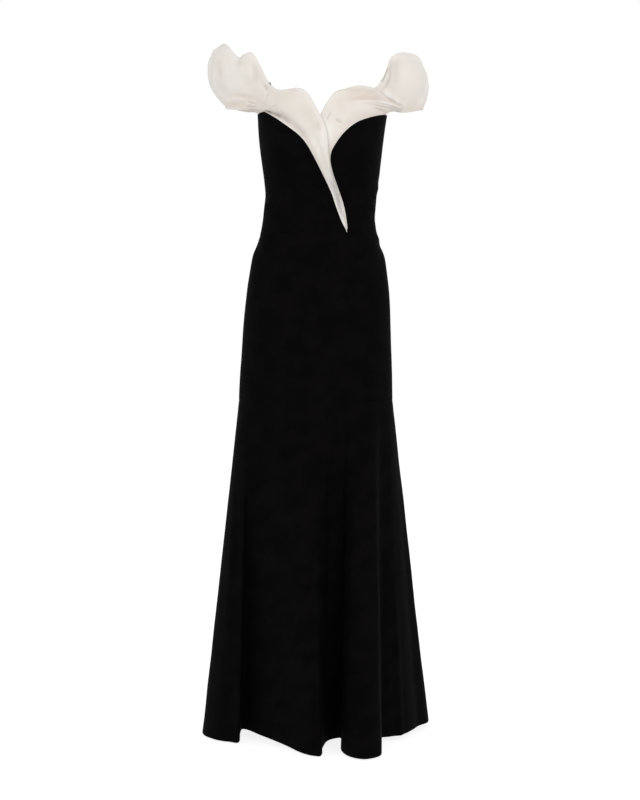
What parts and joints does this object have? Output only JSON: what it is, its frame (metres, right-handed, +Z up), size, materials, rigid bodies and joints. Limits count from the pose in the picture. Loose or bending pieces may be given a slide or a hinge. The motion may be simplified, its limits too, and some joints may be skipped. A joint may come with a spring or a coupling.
{
  "type": "trumpet gown",
  "caption": "Floor-length black trumpet gown, fitted to the thighs and flared to the hem, with an off-the-shoulder ivory organza collar of crossed petals and standing shoulder flounces.",
  "frame": {"origin": "the middle of the worn waist, at its narrowest level, where the wearer holds the gown up", "axes": "+Z up along the body, -Y out of the front, +X towards the wearer's left side"},
  "size_m": [0.5062, 0.4774, 1.518],
  "materials": {
    "crepe": "matt black crepe",
    "organza": "stiffened ivory organza, slightly sheer",
    "ribbon": "black woven tape",
    "enamel": "black enamel"
  },
  "bodies": {
    "gown": {"bodice_front_right": "crepe", "bodice_front_left": "crepe", "bodice_back_left": "crepe", "bodice_back_right": "crepe", "skirt_front": "crepe", "skirt_back_left": "crepe", "skirt_back_right": "crepe", "flare_front": "crepe", "flare_back_left": "crepe", "flare_back_right": "crepe", "collar_petal_right": "organza", "collar_petal_left": "organza", "shoulder_flounce_right": "organza", "shoulder_flounce_left": "organza", "strap_right": "ribbon", "strap_left": "ribbon", "zip_tape_left": "ribbon", "zip_tape_right": "ribbon", "zip_slider": "enamel"},
    "pull_tab": {"zip_pull": "enamel"}
  },
  "joints": [
    {"name": "pull_tab_flip", "type": "hinge", "parent": "gown", "child": "pull_tab", "pos_m": [0.00282, 0.10161, 0.1595], "axis": [1, 0, 0], "range_deg": [0, 165]}
  ]
}
